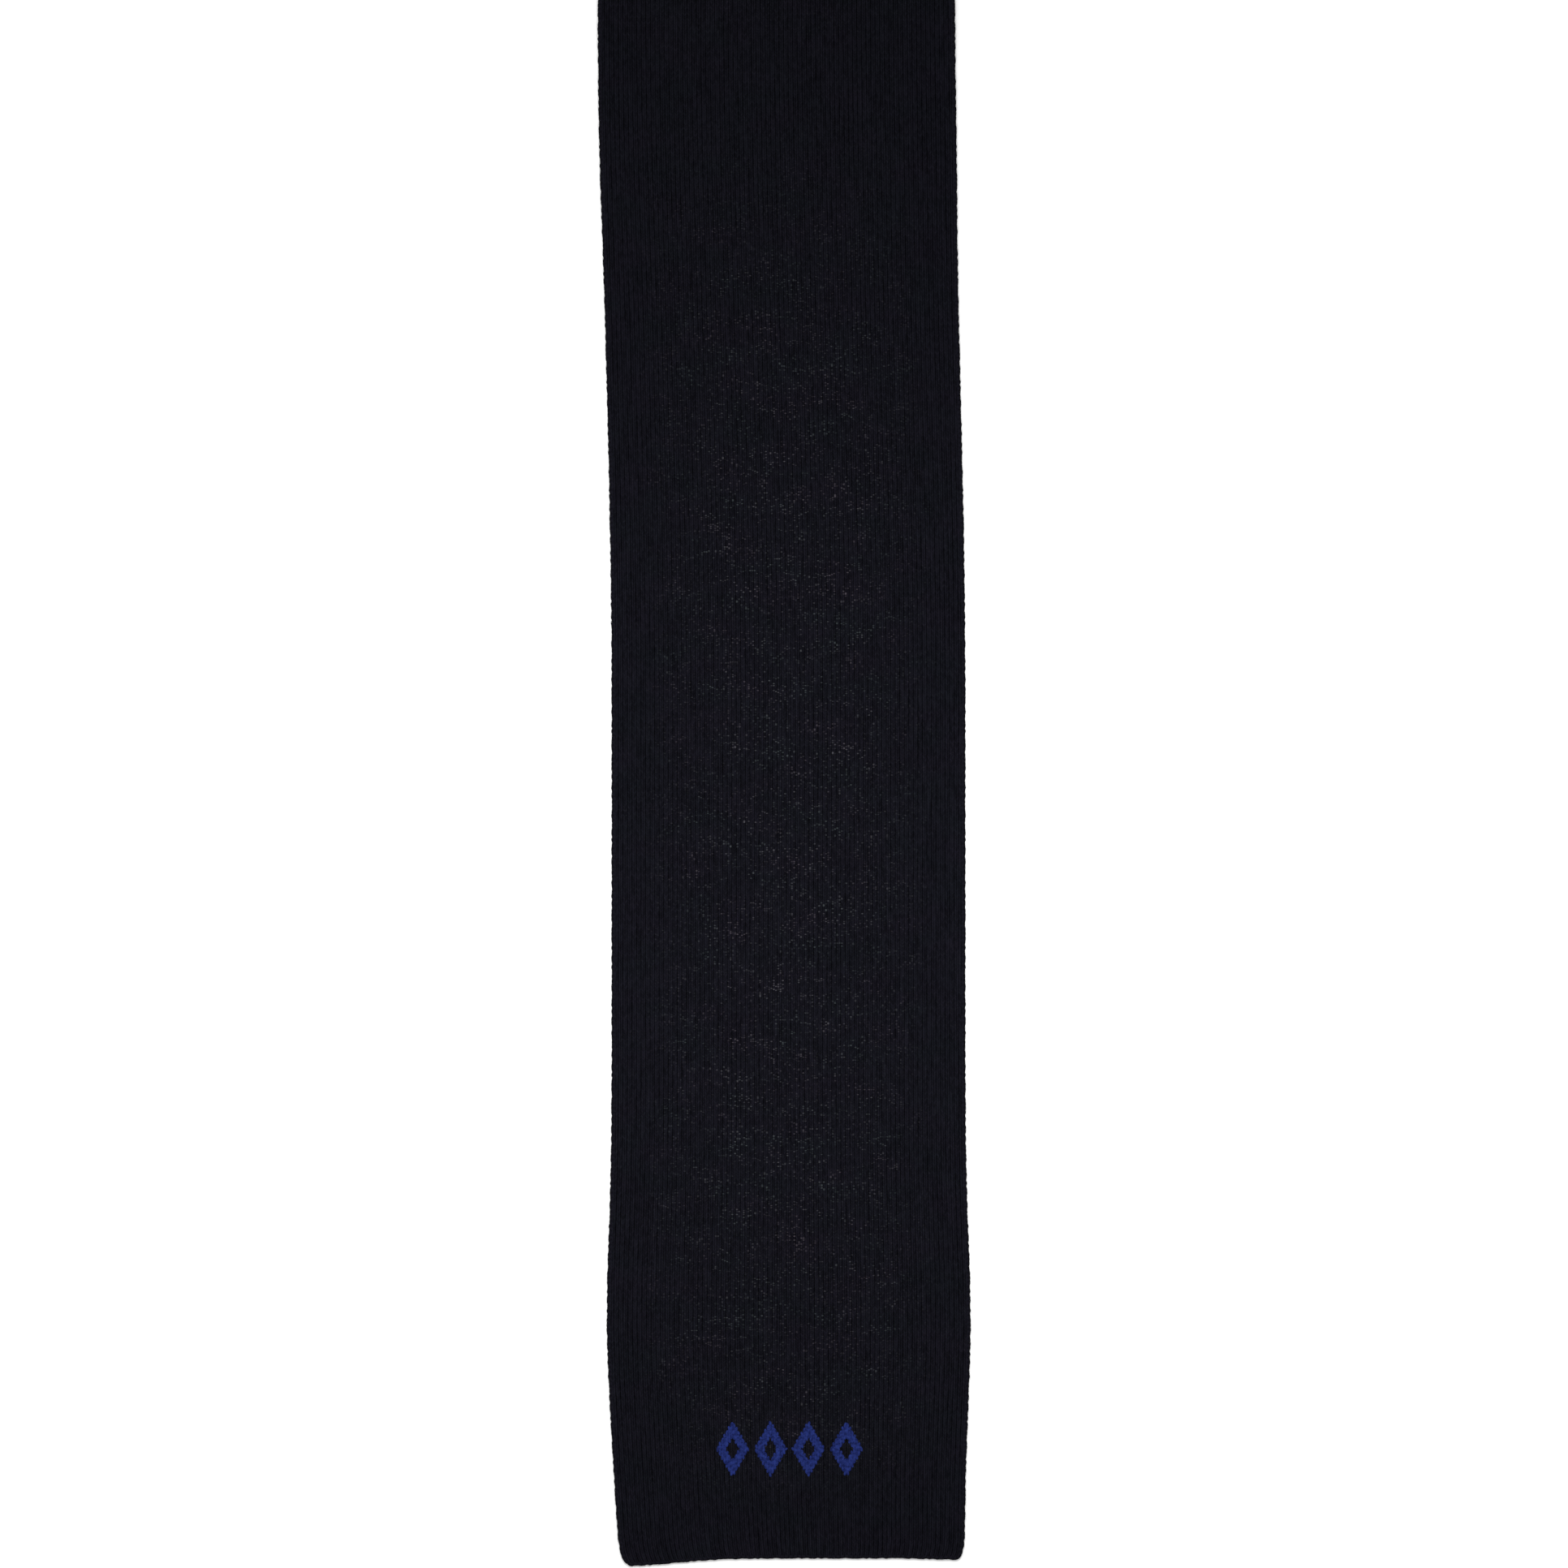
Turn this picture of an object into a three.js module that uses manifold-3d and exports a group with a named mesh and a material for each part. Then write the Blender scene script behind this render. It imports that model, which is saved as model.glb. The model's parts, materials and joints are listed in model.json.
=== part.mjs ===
// A slim knitted scarf of two layers, laid out flat with its face up.
// Millimetres. +Y runs up the length from the end with the motif, +Z is up out of the face,
// and +X is to the right across the width, seen from above with the motif's end nearest.
// The origin is on the surface it lies on, under the middle of it.
import * as THREE from "three";
import { mergeVertices } from "three/addons/utils/BufferGeometryUtils.js";
import Module from "manifold-3d";

// Driving dimensions.
const SCARF_LENGTH = 1500; // between the two end edges
const SCARF_WIDTH = 180; // over the side seams, where nothing pulls on the knit
const LAYER_THICKNESS = 1.9; // of one knitted layer
const GAP = 0.3; // air between pieces that touch

// How the knit relaxes: the linked ends draw it in, and it spreads behind them.
const PINCH = 4.4;
const PINCH_REACH = 69;
const FLARE = 5.9;
const FLARE_PLACE = 118;
const FLARE_REACH = 63;
const MIDDLE_SLACK = 2;
const SLACK_START = 620;
const SLACK_END = 740;

// How it was laid down: a slight lean across to the left, and each end a touch the other way.
const LEAN = 6.2;
const LEAN_START = 440;
const LEAN_END = 800;
const END_DRIFT = 1.9;
const DRIFT_REACH = 40;

// Both corners of each end hang past the end edge, one of them well past it, and each is a
// long curve: it starts higher up the side than it ends in along the end edge.
const DEEP_DIP = 4.1;
const DEEP_DIP_REACH = 37;
const SLIGHT_DIP = 0.8;
const SLIGHT_DIP_REACH = 20;
const CORNER_UP = 15;
const DEEP_CORNER_ACROSS = 5.8;
const SLIGHT_CORNER_ACROSS = 4.5;

// Seams: a linking chain that rolls round both layers.
const SEAM_WIDTH = 1.6;
const SEAM_ROUNDING = 0.6;
const END_SEAM_REACH = CORNER_UP + 1; // how far an end seam turns up each side

// The motif: a row of hollow lozenges knitted into the face.
const LOZENGE_COUNT = 4;
const LOZENGE_WIDTH = 16.8;
const LOZENGE_HEIGHT = 29;
const LOZENGE_SPACE = 2.5;
const LOZENGE_STROKE = 4.4;
const MOTIF_FROM_END = 56; // to the middle of the row
const MOTIF_DEPTH = 1;
const FLOAT_THICKNESS = 0.6; // of the blue yarn carried across behind the row
const FLOAT_MARGIN = 3; // how far it runs past the row on each side

// The care label: a folded tape that hinges where the right seam holds it.
const LABEL_WIDTH = 30;
const LABEL_LENGTH = 55;
const LABEL_THICKNESS = 0.5;
const LABEL_FROM_END = 255; // from the upper end to the middle of the label
const TACK_THICKNESS = 0.8;
const TACK_HEIGHT = 2.3;
const TACK_INSET = 1; // from each side of the label

// Spacing of the points along a gently curved edge.
const STATION_STEP = 25;
const HEM_STEPS = 14;
const CORNER_STEPS = 6;
const STRAIGHT_WITHIN = 0.02; // a point this near the line between its neighbours is dropped

const THICKNESS = 2 * LAYER_THICKNESS + GAP;
const FACE_BOTTOM = LAYER_THICKNESS + GAP;
const NEAR = { name: "near", side: -1 };
const FAR = { name: "far", side: 1 };

const wasm = await Module();
wasm.setup();

// A closed geometry as a manifold-3d solid, and back.
function solidOf(geometry) {
  const bare = new THREE.BufferGeometry().setAttribute(
    "position",
    geometry.getAttribute("position"),
  );
  bare.setIndex(geometry.index);
  const merged = mergeVertices(bare, 1e-4);
  return new wasm.Manifold(
    new wasm.Mesh({
      numProp: 3,
      vertProperties: merged.attributes.position.array,
      triVerts: new Uint32Array(merged.index.array),
    }),
  );
}

function cut(geometry, tools) {
  let left = solidOf(geometry);
  for (const tool of tools) left = left.subtract(solidOf(tool));
  const mesh = left.getMesh();
  const result = new THREE.BufferGeometry();
  result.setAttribute("position", new THREE.BufferAttribute(mesh.vertProperties, 3));
  result.setIndex(new THREE.BufferAttribute(mesh.triVerts, 1));
  result.computeVertexNormals();
  return result;
}

// Plan outline ---------------------------------------------------------------

function halfWidthAt(fromLowerEnd) {
  const fromEnd = Math.min(fromLowerEnd, SCARF_LENGTH - fromLowerEnd);
  const flare = FLARE * Math.exp(-(((fromEnd - FLARE_PLACE) / FLARE_REACH) ** 2));
  const pinch = PINCH * Math.exp(-fromEnd / PINCH_REACH);
  const slack = MIDDLE_SLACK * THREE.MathUtils.smoothstep(fromEnd, SLACK_START, SLACK_END);
  return (SCARF_WIDTH + flare - pinch + slack) / 2;
}

function centreAt(fromLowerEnd) {
  const lean = THREE.MathUtils.smoothstep(fromLowerEnd, LEAN_START, LEAN_END);
  const fromUpperEnd = SCARF_LENGTH - fromLowerEnd;
  const drift = Math.exp(-fromLowerEnd / DRIFT_REACH) - Math.exp(-fromUpperEnd / DRIFT_REACH);
  return LEAN * (0.5 - lean) + END_DRIFT * drift;
}

// A half's own distances are counted from its own end.
function fromLowerEnd(half, fromEnd) {
  return half === NEAR ? fromEnd : SCARF_LENGTH - fromEnd;
}

function planPoint(half, across, fromEnd) {
  const x = centreAt(fromLowerEnd(half, Math.max(fromEnd, 0))) + across;
  return new THREE.Vector2(x, half.side * (SCARF_LENGTH / 2 - fromEnd));
}

// hand is +1 on the right edge and -1 on the left.
function sidePoint(half, hand, inset, fromEnd) {
  const across = halfWidthAt(fromLowerEnd(half, fromEnd)) - inset;
  return planPoint(half, hand * across, fromEnd);
}

// A point of the end edge. The deep dip is at the left corner of the lower end and at the
// right corner of the upper one.
function hemPoint(half, across, inset) {
  const fromDeep = halfWidthAt(0) - half.side * across;
  const fromSlight = halfWidthAt(0) + half.side * across;
  const deep = DEEP_DIP * Math.exp(-((fromDeep / DEEP_DIP_REACH) ** 2));
  const slight = SLIGHT_DIP * Math.exp(-((fromSlight / SLIGHT_DIP_REACH) ** 2));
  return planPoint(half, across, inset - deep - slight);
}

function stations(from, to) {
  const count = Math.max(1, Math.round(Math.abs(to - from) / STATION_STEP));
  return Array.from({ length: count + 1 }, (_, i) => from + ((to - from) * i) / count);
}

// Down the right side from reach, round the end and up the left side to reach again.
function runRound(half, inset, reach) {
  const isDeep = (hand) => hand === half.side;
  const hemReach = (hand) =>
    halfWidthAt(0) - (isDeep(hand) ? DEEP_CORNER_ACROSS : SLIGHT_CORNER_ACROSS);
  const side = (hand) => stations(reach, CORNER_UP).map((v) => sidePoint(half, hand, inset, v));
  const right = side(1);
  const left = side(-1).reverse();
  const hem = Array.from({ length: HEM_STEPS + 1 }, (_, i) =>
    hemPoint(half, THREE.MathUtils.lerp(hemReach(1), -hemReach(-1), i / HEM_STEPS), inset),
  );
  const path = new THREE.Path(right);
  const turn = (hand, to) => {
    const corner = hemPoint(half, hand * (halfWidthAt(0) - inset), inset);
    path.quadraticCurveTo(corner.x, corner.y, to.x, to.y);
  };
  turn(1, hem[0]);
  for (const p of hem.slice(1)) path.lineTo(p.x, p.y);
  turn(-1, left[0]);
  for (const p of left.slice(1)) path.lineTo(p.x, p.y);
  return path.getPoints(CORNER_STEPS);
}

// A closed outline without the points that lie on its straight stretches.
function outline(points) {
  const kept = [points[0]];
  points.slice(1, -1).forEach((p, i) => {
    const last = kept[kept.length - 1];
    const along = points[i + 2].clone().sub(last);
    const away = Math.abs(along.cross(p.clone().sub(last))) / along.length();
    if (away > STRAIGHT_WITHIN) kept.push(p);
  });
  return new THREE.Shape([...kept, points[points.length - 1]]);
}

// Solids ---------------------------------------------------------------------

function slab(shape, bottom, thickness) {
  const geometry = new THREE.ExtrudeGeometry(shape, { depth: thickness, bevelEnabled: false });
  return geometry.translate(0, 0, bottom);
}

function rolledBar(points) {
  const geometry = new THREE.ExtrudeGeometry(outline(points), {
    depth: THICKNESS - 2 * SEAM_ROUNDING,
    bevelThickness: SEAM_ROUNDING,
    bevelSize: SEAM_ROUNDING,
    bevelOffset: -SEAM_ROUNDING,
    bevelSegments: 2,
  });
  return geometry.translate(0, 0, SEAM_ROUNDING);
}

const foldReach = SCARF_LENGTH / 2 - GAP / 2;

function layer(half, bottom) {
  const shape = outline(runRound(half, SEAM_WIDTH + GAP, foldReach));
  return slab(shape, bottom, LAYER_THICKNESS);
}

function endSeam(half) {
  const outer = runRound(half, 0, END_SEAM_REACH);
  const inner = runRound(half, SEAM_WIDTH, END_SEAM_REACH);
  return rolledBar([...outer, ...inner.reverse()]);
}

function sideSeam(half, hand) {
  const along = stations(END_SEAM_REACH + GAP, foldReach);
  const outer = along.map((v) => sidePoint(half, hand, 0, v));
  const inner = along.map((v) => sidePoint(half, hand, SEAM_WIDTH, v));
  return rolledBar([...outer, ...inner.reverse()]);
}

// Motif ----------------------------------------------------------------------

const lozengePitch = LOZENGE_WIDTH + LOZENGE_SPACE;
const motifWidth = LOZENGE_COUNT * LOZENGE_WIDTH + (LOZENGE_COUNT - 1) * LOZENGE_SPACE;
const motifCentre = planPoint(NEAR, 0, MOTIF_FROM_END);

// A lozenge's corners after every side has moved out by grow.
function lozengePoints(x, grow) {
  const a = LOZENGE_WIDTH / 2;
  const b = LOZENGE_HEIGHT / 2;
  const scale = 1 + (grow * Math.hypot(a, b)) / (a * b);
  return [[a, 0], [0, b], [-a, 0], [0, -b]].map(
    ([dx, dy]) => new THREE.Vector2(x + scale * dx, motifCentre.y + scale * dy),
  );
}

// The ring of a hollow lozenge, standing air on both its walls, from bottom up to top.
function lozengeRing(index, air, bottom, top) {
  const x = motifCentre.x + (index - (LOZENGE_COUNT - 1) / 2) * lozengePitch;
  const shape = new THREE.Shape(lozengePoints(x, air));
  shape.holes.push(new THREE.Path(lozengePoints(x, -LOZENGE_STROKE - air)));
  return slab(shape, bottom, top - bottom);
}

function block(centreX, centreY, width, length, bottom, top) {
  const geometry = new THREE.BoxGeometry(width, length, top - bottom);
  return geometry.translate(centreX, centreY, (bottom + top) / 2);
}

const floatTop = LAYER_THICKNESS;

// The floats' block with air round and under it, up to top.
function floatBlock(air, top) {
  const width = motifWidth + 2 * (FLOAT_MARGIN + air);
  const bottom = floatTop - FLOAT_THICKNESS - air;
  return block(motifCentre.x, motifCentre.y, width, LOZENGE_HEIGHT + 2 * air, bottom, top);
}

// Label ----------------------------------------------------------------------

// The label turns about its root, just outside the right seam and at half its thickness.
const seamEdge = sidePoint(FAR, 1, 0, LABEL_FROM_END);
const labelAxisX = seamEdge.x + GAP + LABEL_THICKNESS / 2;
const labelLeft = labelAxisX - LABEL_LENGTH;
const labelRight = labelAxisX + LABEL_THICKNESS / 2;

function labelBlock(air, bottom, top) {
  const width = labelRight - labelLeft + 2 * air;
  return block((labelLeft + labelRight) / 2, seamEdge.y, width, LABEL_WIDTH + 2 * air, bottom, top);
}

const tackBottom = LABEL_THICKNESS + 1.5 * GAP; // clear of the root's corners as it turns
const tack = block(
  seamEdge.x + GAP + TACK_THICKNESS / 2,
  seamEdge.y,
  TACK_THICKNESS,
  LABEL_WIDTH - 2 * TACK_INSET,
  tackBottom,
  tackBottom + TACK_HEIGHT,
);

// Materials ------------------------------------------------------------------

const navyKnit = new THREE.MeshStandardMaterial({ color: 0x17161c, roughness: 0.92, metalness: 0 });
const linkingYarn = new THREE.MeshStandardMaterial({ color: 0x121117, roughness: 0.88, metalness: 0 });
const blueYarn = new THREE.MeshStandardMaterial({ color: 0x232f7c, roughness: 0.85, metalness: 0 });
const labelSatin = new THREE.MeshStandardMaterial({ color: 0xe6e4df, roughness: 0.45, metalness: 0 });
const labelThread = new THREE.MeshStandardMaterial({ color: 0x1b1a20, roughness: 0.7, metalness: 0 });

// Assembly -------------------------------------------------------------------

const scarf = new THREE.Group();

function add(parent, name, geometry, material) {
  const mesh = new THREE.Mesh(geometry, material);
  mesh.name = name;
  parent.add(mesh);
}

const lozenges = Array.from({ length: LOZENGE_COUNT }, (_, i) => i);

// The pieces that both halves have. The two layers may be cut first.
function addHalf(half, facePockets, backPockets, rightSeamPockets) {
  const group = new THREE.Group();
  const face = cut(layer(half, FACE_BOTTOM), facePockets);
  const back = cut(layer(half, 0), backPockets);
  add(group, `face_layer_${half.name}`, face, navyKnit);
  add(group, `back_layer_${half.name}`, back, navyKnit);
  add(group, `left_seam_${half.name}`, sideSeam(half, -1), linkingYarn);
  add(group, `right_seam_${half.name}`, cut(sideSeam(half, 1), rightSeamPockets), linkingYarn);
  scarf.add(group);
  return group;
}

const motifPockets = lozenges.map((i) =>
  lozengeRing(i, GAP, THICKNESS - MOTIF_DEPTH - GAP, THICKNESS + GAP),
);
const nearHalf = addHalf(NEAR, motifPockets, [floatBlock(GAP, floatTop + GAP)], []);
add(nearHalf, "lower_end_seam", endSeam(NEAR), linkingYarn);
for (const i of lozenges) {
  add(nearHalf, `motif_${i + 1}`, lozengeRing(i, 0, THICKNESS - MOTIF_DEPTH, THICKNESS), blueYarn);
}
add(nearHalf, "motif_floats", floatBlock(0, floatTop), blueYarn);

const labelPocket = labelBlock(GAP, -GAP, LABEL_THICKNESS + GAP);
const farHalf = addHalf(FAR, [], [labelPocket], [labelPocket]);
add(farHalf, "upper_end_seam", endSeam(FAR), linkingYarn);
add(farHalf, "label_stitches", tack, labelThread);

add(scarf, "care_label", labelBlock(0, 0, LABEL_THICKNESS), labelSatin);

export default scarf;
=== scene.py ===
import json
import math

import bpy
import numpy as np
from mathutils.bvhtree import BVHTree
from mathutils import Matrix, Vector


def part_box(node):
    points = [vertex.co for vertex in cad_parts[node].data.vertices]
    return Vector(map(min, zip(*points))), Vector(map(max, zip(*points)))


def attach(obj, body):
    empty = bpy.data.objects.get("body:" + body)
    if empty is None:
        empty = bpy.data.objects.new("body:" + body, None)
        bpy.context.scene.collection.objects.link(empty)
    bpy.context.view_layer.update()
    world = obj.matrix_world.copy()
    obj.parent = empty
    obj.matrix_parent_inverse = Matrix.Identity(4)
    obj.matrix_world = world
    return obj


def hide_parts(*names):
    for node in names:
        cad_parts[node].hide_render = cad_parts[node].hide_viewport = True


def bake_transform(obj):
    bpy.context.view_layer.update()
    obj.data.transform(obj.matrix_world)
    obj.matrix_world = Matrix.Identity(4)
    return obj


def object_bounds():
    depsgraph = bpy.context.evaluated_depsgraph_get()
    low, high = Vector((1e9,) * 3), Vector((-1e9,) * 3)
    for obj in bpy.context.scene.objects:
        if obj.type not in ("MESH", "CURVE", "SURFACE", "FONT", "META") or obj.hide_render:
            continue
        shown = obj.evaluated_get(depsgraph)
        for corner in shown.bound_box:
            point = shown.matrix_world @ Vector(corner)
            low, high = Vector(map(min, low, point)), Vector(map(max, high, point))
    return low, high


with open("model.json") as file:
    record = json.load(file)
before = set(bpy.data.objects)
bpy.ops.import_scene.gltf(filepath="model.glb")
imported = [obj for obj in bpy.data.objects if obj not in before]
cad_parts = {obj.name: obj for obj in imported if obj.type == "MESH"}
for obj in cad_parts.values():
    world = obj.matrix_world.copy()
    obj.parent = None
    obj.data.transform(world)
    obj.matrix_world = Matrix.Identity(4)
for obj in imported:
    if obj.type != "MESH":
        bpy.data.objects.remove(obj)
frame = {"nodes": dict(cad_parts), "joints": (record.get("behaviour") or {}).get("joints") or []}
cad_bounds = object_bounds()

# ---------------------------------------------------------------------------
# Camera and studio. The scarf is seen from straight above, with the end that carries the
# motif just inside the lower edge of the view and the far half running out of the top.
# It lies on a pale floor in even light, brightest over the middle of what is in view.
cad_low, cad_high = (np.array(corner) for corner in cad_bounds)
VIEW_SIDE = 0.7976
VIEW_MARGIN = 0.0006
LENS_MM = 85.0
SENSOR_MM = 36.0
view_x = 0.0008
view_y = cad_low[1] - VIEW_MARGIN + VIEW_SIDE / 2

camera = bpy.data.objects.new("camera", bpy.data.cameras.new("camera"))
camera.data.lens = LENS_MM
camera.data.sensor_width = SENSOR_MM
view_height = VIEW_SIDE * LENS_MM / SENSOR_MM
camera.location = (view_x, view_y, cad_high[2] + view_height)
bpy.context.scene.collection.objects.link(camera)
bpy.context.scene.camera = camera
bpy.context.scene.view_settings.view_transform = "Standard"


def softbox(name, place, size, watts, tilt=(0.0, 0.0, 0.0)):
    """A square area light that the camera doesn't see."""
    lamp = bpy.data.lights.new(name, "AREA")
    lamp.size = size
    lamp.energy = watts
    light = bpy.data.objects.new(name, lamp)
    light.location = place
    light.rotation_euler = tilt
    light.visible_camera = False
    bpy.context.scene.collection.objects.link(light)


softbox("overhead_softbox", (0.01, view_y - 0.08, 0.6), 0.25, 4.2)
softbox("side_softbox", (-1.0, view_y + 0.4, 1.0), 0.7, 4.0, (0.0, math.radians(-45), 0.0))

STUDIO_GLOW = 0.8
world = bpy.data.worlds.new("studio")
world.use_nodes = True
background = world.node_tree.nodes["Background"].inputs
background["Color"].default_value = (1.0, 1.0, 1.0, 1.0)
background["Strength"].default_value = STUDIO_GLOW
bpy.context.scene.world = world


def new_mesh(name, points, faces, material, attribute=None):
    """A smooth-shaded mesh object from arrays of points and faces. attribute is one vector
    for each point, kept as "stitch": its wale, its course and its height, in stitches."""
    mesh = bpy.data.meshes.new(name)
    mesh.from_pydata(np.asarray(points).reshape(-1, 3), [], faces)
    mesh.polygons.foreach_set("use_smooth", np.ones(len(mesh.polygons), bool))
    if attribute is not None:
        stitch = mesh.attributes.new("stitch", "FLOAT_VECTOR", "POINT")
        stitch.data.foreach_set("vector", np.asarray(attribute, np.float32).ravel())
    mesh.materials.append(material)
    mesh.update()
    made = bpy.data.objects.new(name, mesh)
    bpy.context.scene.collection.objects.link(made)
    return made


class Value:
    """An output of a material's nodes. Arithmetic on it adds Math nodes."""

    def __init__(self, tree, socket=None):
        self.tree = tree
        self.socket = socket

    def node(self, kind, settings=None, inputs=None, output=0):
        """Adds a node, sets its settings, then its inputs, and gives one of its outputs."""
        made = self.tree.nodes.new("ShaderNode" + kind)
        for key, value in (settings or {}).items():
            setattr(made, key, value)
        for key, value in (inputs or {}).items():
            if isinstance(value, Value):
                self.tree.links.new(value.socket, made.inputs[key])
            else:
                made.inputs[key].default_value = value
        return Value(self.tree, made.outputs[output])

    def split(self, vector):
        """The three parts of a vector, as Values."""
        parts = self.node("SeparateXYZ", None, {0: vector}).socket.node.outputs
        return [Value(self.tree, part) for part in parts]

    def math(self, operation, *others):
        """A Math node of that operation on this value and the others."""
        return self.node("Math", {"operation": operation}, dict(enumerate([self, *others])))

    def mix(self, first, second):
        """A colour between two, with this value as the share of the second."""
        settings = {"data_type": "RGBA", "clamp_factor": True}
        return self.node("Mix", settings, {0: self, 6: first, 7: second}, output=2)

    def __add__(self, other):
        return self.math("ADD", other)

    def __sub__(self, other):
        return self.math("SUBTRACT", other)

    def __mul__(self, other):
        return self.math("MULTIPLY", other)

    def __rsub__(self, other):
        return self.node("Math", {"operation": "SUBTRACT"}, {0: other, 1: self})

    def __pow__(self, other):
        return self.math("POWER", other)

    __radd__ = __add__
    __rmul__ = __mul__


def new_material(name, **constants):
    """A Principled material with its plain settings. Returns it and its tree as a Value."""
    material = bpy.data.materials.new(name)
    material.use_nodes = True
    shader = material.node_tree.nodes["Principled BSDF"]
    for key, value in constants.items():
        shader.inputs[key.replace("_", " ")].default_value = value
    return material, Value(material.node_tree)


def feed(material, socket, value):
    """Links a Value to one socket of the material's shader."""
    shader = material.node_tree.nodes["Principled BSDF"]
    material.node_tree.links.new(value.socket, shader.inputs[socket])


floor_material, floor_tree = new_material("floor_paper", Roughness=0.9)
floor_place = floor_tree.node("TexCoord", output=3)
floor_grain = floor_tree.node("TexNoise", None, {"Vector": floor_place, "Scale": 1.5})
floor_shade = floor_grain.mix((0.90, 0.90, 0.90, 1.0), (0.92, 0.92, 0.92, 1.0))
feed(floor_material, "Base Color", floor_shade)
FLOOR_REACH = 40.0
floor = new_mesh(
    "floor",
    [(-FLOOR_REACH, -FLOOR_REACH, 0), (FLOOR_REACH, -FLOOR_REACH, 0),
     (FLOOR_REACH, FLOOR_REACH, 0), (-FLOOR_REACH, FLOOR_REACH, 0)],
    [(0, 1, 2, 3)],
    floor_material,
)

# ---------------------------------------------------------------------------
# Back layer. A panel of stocking stitch, one yarn knitted into columns of stitches that run
# the length of the scarf. It lies on the floor with its ribbed right side down and its
# plain side against the face layer, and the seams hold it along all four edges.
WALES = 77
COURSE = 0.0015
RIB_DEPTH = 0.00034
RIB_ROUNDNESS = 0.8
POINTS_PER_WALE = 4
LAYER_INSET = 0.0011
SEAM_NODES = [f"{hand}_seam_{half}" for hand in ("left", "right") for half in ("near", "far")]
END_NODES = ["lower_end_seam", "upper_end_seam"]
thickness = cad_high[2] - cad_low[2]


def solid_tree(names):
    """CAD nodes as one tree that rays can be cast at."""
    corners, faces = [], []
    for name in names:
        mesh = frame["nodes"][name].data
        faces += [[len(corners) + i for i in face.vertices] for face in mesh.polygons]
        corners += [v.co for v in mesh.vertices]
    return BVHTree.FromPolygons(corners, faces)


edge_tree = solid_tree(SEAM_NODES + END_NODES)
HALF_LENGTH = 0.75
CORNER_UP = 0.015
CORNER_CLEAR = 0.0077
FOLD_SLIT = 0.0004
RAY_REACH = 2.0


def edge_point(inner, towards):
    """Where a level ray, cast back at a place inside the scarf from that side of it, meets
    the scarf's edge, at half its thickness. A ray that slips between two pieces is cast
    again beside the slit."""
    inner = np.array([inner[0], inner[1], thickness / 2])
    towards = np.array([towards[0], towards[1], 0.0])
    beside = np.array([towards[1], -towards[0], 0.0])
    for step in (0.0, FOLD_SLIT, -FOLD_SLIT):
        hit = edge_tree.ray_cast(inner + RAY_REACH * towards + step * beside, -towards)[0]
        if hit is not None:
            return np.array(hit)[:2]


# The sides are read at places along the scarf, closer together round the corners.
TIP_CLEAR = 0.0003
STRAIGHT_REACH = 0.73
near_tip = np.linspace(HALF_LENGTH - CORNER_UP, cad_high[1] - TIP_CLEAR, 31)
straight = np.linspace(-STRAIGHT_REACH, STRAIGHT_REACH, 300)
side_places = np.concatenate([-near_tip[::-1], straight, near_tip])
side_places = side_places[np.abs(side_places) > FOLD_SLIT]
side_edges = [
    np.array([edge_point((0.0, y), (hand, 0.0))[0] for y in side_places]) for hand in (-1, 1)
]
hem_edges = []
for node, sign in zip(END_NODES, (-1, 1)):
    low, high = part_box(node)
    hem_x = np.linspace(low.x + CORNER_CLEAR, high.x - CORNER_CLEAR, 110)
    hem_y = np.array([edge_point((x, 0.0), (0.0, sign))[1] for x in hem_x])
    hem_edges.append((hem_x, hem_y))
HEM_FOLLOW = 0.06


def hem_shift(x, along):
    """How far a row is pushed along the scarf by the curve of the end edge nearest to it,
    which fades out over HEM_FOLLOW."""
    shift = 0.0
    for (hem_x, hem_y), sign in zip(hem_edges, (-1, 1)):
        fade = np.exp(-(((along - sign * HALF_LENGTH) / HEM_FOLLOW) ** 2))
        shift = shift + (np.interp(x, hem_x, hem_y) - sign * HALF_LENGTH) * fade
    return shift


def lie(across, along, inset=0.0):
    """Where a point of the fabric lies in plan. across runs from -1 at the left edge to 1 at
    the right edge, less inset at each, and along is the height up the scarf, before the
    curve of the end edge shifts it."""
    left_y = along + hem_shift(cad_low[0], along)
    right_y = along + hem_shift(cad_high[0], along)
    left = np.interp(left_y, side_places, side_edges[0]) + inset
    right = np.interp(right_y, side_places, side_edges[1]) - inset
    x = (left + right) / 2 + across * (right - left) / 2
    return x, along + hem_shift(x, along)


CLOTH_CELL = 0.012
CLOTH_FRAMES = 24
CLOTH_REST = 0.0018
SWELL_SHARE = 0.42
SWELL_MOST = 0.001
FOLD_STILL = 0.03
label_low, label_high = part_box("care_label")
LABEL_EASE = 0.005
LABEL_ROOM = 0.0005


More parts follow.
